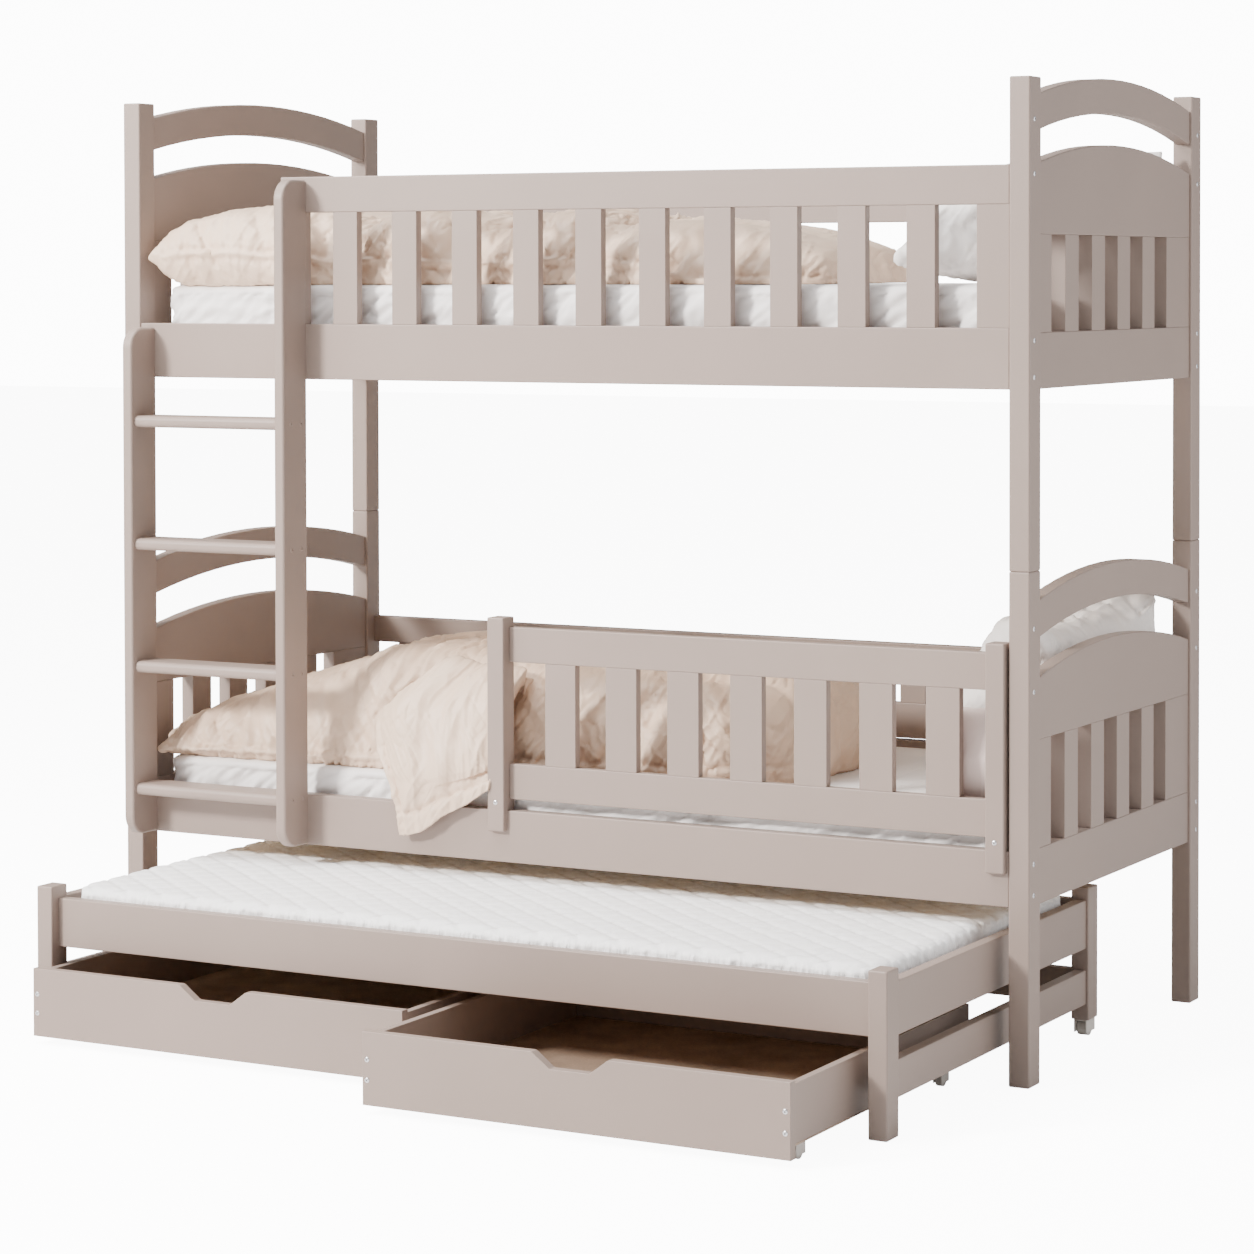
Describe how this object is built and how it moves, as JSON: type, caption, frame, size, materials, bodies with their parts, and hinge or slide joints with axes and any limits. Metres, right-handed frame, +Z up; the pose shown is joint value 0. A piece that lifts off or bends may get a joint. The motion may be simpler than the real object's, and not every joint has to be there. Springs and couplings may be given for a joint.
{
  "type": "triple bunk bed",
  "caption": "Painted wooden bunk bed with arched ends, a side ladder, slatted guards, a pull-out low bed on rollers and storage drawers under it.",
  "frame": {"origin": "on the floor, under the middle of the whole object's box at rest, with the low bed and drawers part way out as in the picture", "axes": "+X along the bed from the ladder end to the pillow end, +Y from the front with the ladder and guards to the back, +Z up"},
  "size_m": [1.8828, 1.5264, 1.7228],
  "materials": {
    "painted_wood": "satin grey-beige paint on solid wood",
    "bare_wood": "bare turned beech",
    "slat_pine": "planed bare pine",
    "steel_screw": "zinc plated",
    "hardboard": "smooth brown hardboard",
    "bracket_steel": "light grey powder coat",
    "wheel_plastic": "light grey moulded plastic",
    "quilted_cover": "white quilted knit",
    "mattress_cover": "white cotton sheet",
    "quilt_cotton": "sand cotton cover",
    "pillow_cotton": "off-white cotton cover",
    "small_pillow_cotton": "pale pink cotton cover"
  },
  "bodies": {
    "bed": {"back_guard_rails": "painted_wood", "back_guard_slats": "painted_wood", "bed_battens": "slat_pine", "end_boards": "painted_wood", "end_dowels": "bare_wood", "end_slats": "painted_wood", "frame_bolts": "steel_screw", "ladder_left_stile": "painted_wood", "ladder_right_stile": "painted_wood", "ladder_rungs": "painted_wood", "ladder_screws": "steel_screw", "low_guard_rails": "painted_wood", "low_guard_slats": "painted_wood", "low_guard_uprights": "painted_wood", "lower_arch_rails": "painted_wood", "lower_back_rail": "painted_wood", "lower_bed_slats": "slat_pine", "lower_front_rail": "painted_wood", "lower_head_panels": "painted_wood", "lower_mattress": "mattress_cover", "lower_pillow": "pillow_cotton", "lower_posts": "painted_wood", "lower_quilt": "quilt_cotton", "post_dowels": "bare_wood", "small_pillow": "small_pillow_cotton", "upper_arch_rails": "painted_wood", "upper_back_board": "painted_wood", "upper_bed_slats": "slat_pine", "upper_front_board": "painted_wood", "upper_guard_rail": "painted_wood", "upper_guard_slats": "painted_wood", "upper_head_panels": "painted_wood", "upper_mattress": "mattress_cover", "upper_pillow": "pillow_cotton", "upper_posts": "painted_wood", "upper_quilt": "quilt_cotton"},
    "trundle": {"trundle_back_rails": "painted_wood", "trundle_battens": "slat_pine", "trundle_front_rail": "painted_wood", "trundle_legs": "painted_wood", "trundle_mattress": "quilted_cover", "trundle_roller_brackets": "bracket_steel", "trundle_side_rails": "painted_wood", "trundle_slats": "slat_pine"},
    "drawer_left": {"drawer_left_castor_brackets": "bracket_steel", "drawer_left_floor": "hardboard", "drawer_left_front": "painted_wood", "drawer_left_screws": "steel_screw", "drawer_left_sides": "painted_wood"},
    "drawer_right": {"drawer_right_castor_brackets": "bracket_steel", "drawer_right_floor": "hardboard", "drawer_right_front": "painted_wood", "drawer_right_screws": "steel_screw", "drawer_right_sides": "painted_wood"},
    "left_roller": {"trundle_left_roller": "wheel_plastic"},
    "right_roller": {"trundle_right_roller": "wheel_plastic"},
    "drawer_left_front_castors": {"drawer_left_front_wheels": "wheel_plastic"},
    "drawer_left_back_castors": {"drawer_left_back_wheels": "wheel_plastic"},
    "drawer_right_front_castors": {"drawer_right_front_wheels": "wheel_plastic"},
    "drawer_right_back_castors": {"drawer_right_back_wheels": "wheel_plastic"}
  },
  "joints": [
    {"name": "trundle_slide", "type": "slide", "parent": "bed", "child": "trundle", "axis": [0, 1, 0], "range_m": [-0.43, 0.377]},
    {"name": "left_roller_spin", "type": "hinge", "parent": "trundle", "child": "left_roller", "pos_m": [-0.792, 0.3632, 0.014], "axis": [1, 0, 0], "range_deg": [-1544, 1761]},
    {"name": "right_roller_spin", "type": "hinge", "parent": "trundle", "child": "right_roller", "pos_m": [0.864, 0.3632, 0.014], "axis": [1, 0, 0], "range_deg": [-1544, 1761]},
    {"name": "drawer_left_slide", "type": "slide", "parent": "trundle", "child": "drawer_left", "axis": [0, 1, 0], "range_m": [-0.52, 0.061]},
    {"name": "drawer_left_front_castor_spin", "type": "hinge", "parent": "drawer_left", "child": "drawer_left_front_castors", "pos_m": [-0.379, -0.5248, 0.013], "axis": [1, 0, 0], "range_deg": [-270, 2293]},
    {"name": "drawer_left_back_castor_spin", "type": "hinge", "parent": "drawer_left", "child": "drawer_left_back_castors", "pos_m": [-0.379, 0.0352, 0.013], "axis": [1, 0, 0], "range_deg": [-270, 2293]},
    {"name": "drawer_right_slide", "type": "slide", "parent": "trundle", "child": "drawer_right", "axis": [0, 1, 0], "range_m": [-0.353, 0.228]},
    {"name": "drawer_right_front_castor_spin", "type": "hinge", "parent": "drawer_right", "child": "drawer_right_front_castors", "pos_m": [0.431, -0.6918, 0.013], "axis": [1, 0, 0], "range_deg": [-1006, 1557]},
    {"name": "drawer_right_back_castor_spin", "type": "hinge", "parent": "drawer_right", "child": "drawer_right_back_castors", "pos_m": [0.431, -0.1318, 0.013], "axis": [1, 0, 0], "range_deg": [-1006, 1557]}
  ],
  "couplings": [
    {"joint": "left_roller_spin", "follows": "trundle_slide", "rad_per_m": -71.429},
    {"joint": "right_roller_spin", "follows": "trundle_slide", "rad_per_m": -71.429},
    {"joint": "drawer_left_front_castor_spin", "follows": "drawer_left_slide", "rad_per_m": -76.923},
    {"joint": "drawer_left_back_castor_spin", "follows": "drawer_left_slide", "rad_per_m": -76.923},
    {"joint": "drawer_right_front_castor_spin", "follows": "drawer_right_slide", "rad_per_m": -76.923},
    {"joint": "drawer_right_back_castor_spin", "follows": "drawer_right_slide", "rad_per_m": -76.923}
  ]
}
